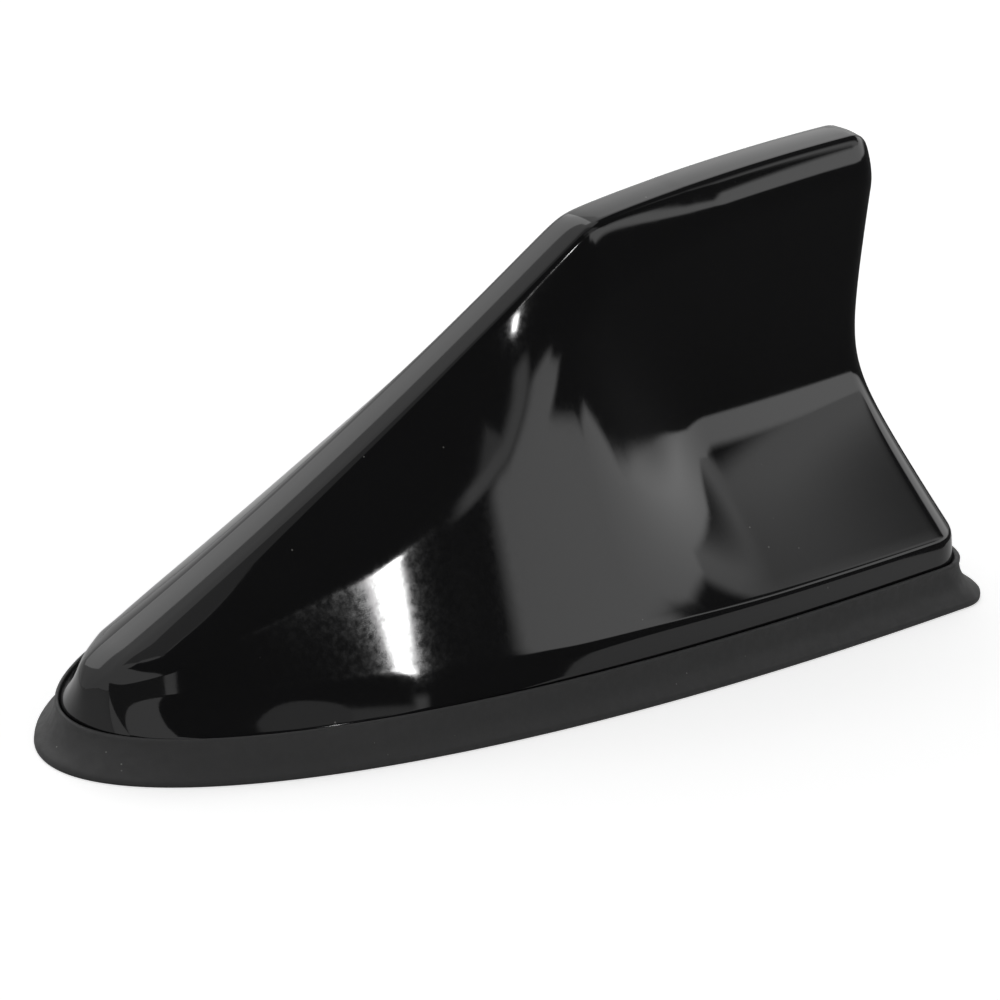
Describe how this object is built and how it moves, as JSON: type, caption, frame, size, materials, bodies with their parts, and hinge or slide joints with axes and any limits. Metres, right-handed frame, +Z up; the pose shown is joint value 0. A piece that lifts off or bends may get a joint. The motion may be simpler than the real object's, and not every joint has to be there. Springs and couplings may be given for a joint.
{
  "type": "shark fin aerial",
  "caption": "Stick-on vehicle roof aerial: a hollow gloss fin over a rubber skirt, with an amplifier board and an upright radiator inside.",
  "frame": {"origin": "middle of the rubber skirt's footprint on the roof surface", "axes": "+X from the nose towards the tail, +Y across towards the vehicle's right, +Z up from the roof"},
  "size_m": [0.168, 0.0716, 0.0659],
  "materials": {
    "gloss_black_shell": "high gloss moulded plastic",
    "black_rubber": "matt moulded rubber with fine dust",
    "black_plastic": "fine spark-eroded texture",
    "foam_adhesive": "closed-cell acrylic foam",
    "plated_steel": "zinc plated",
    "tinned_steel": "bright tinned sheet",
    "gilt_brass": "gilt",
    "board_green": "solder mask",
    "board_tan": "bare glass-fibre laminate",
    "copper": "bare copper",
    "chip_black": "moulded resin",
    "ferrite_grey": "sintered ferrite",
    "capacitor_can": "satin drawn can",
    "ceramic_tan": "fired ceramic",
    "former_white": "natural nylon",
    "foam_grey": "open-cell foam"
  },
  "bodies": {
    "root": {"fin_shell": "gloss_black_shell", "gasket": "black_rubber", "base_plate": "black_plastic", "adhesive_pad": "foam_adhesive", "case_screws": "plated_steel", "cable_grommet": "black_rubber", "amplifier_board": "board_green", "board_screws": "plated_steel", "coax_socket": "gilt_brass", "shield_can": "tinned_steel", "amplifier_chip": "chip_black", "filter_inductors": "ferrite_grey", "electrolytic_capacitors": "capacitor_can", "ceramic_capacitors": "ceramic_tan", "resistors": "chip_black", "coil_former": "former_white", "loading_coil": "copper", "radiator_board": "board_tan", "radiator_trace": "copper", "foot_clips": "tinned_steel", "foam_block": "foam_grey"}
  },
  "joints": []
}
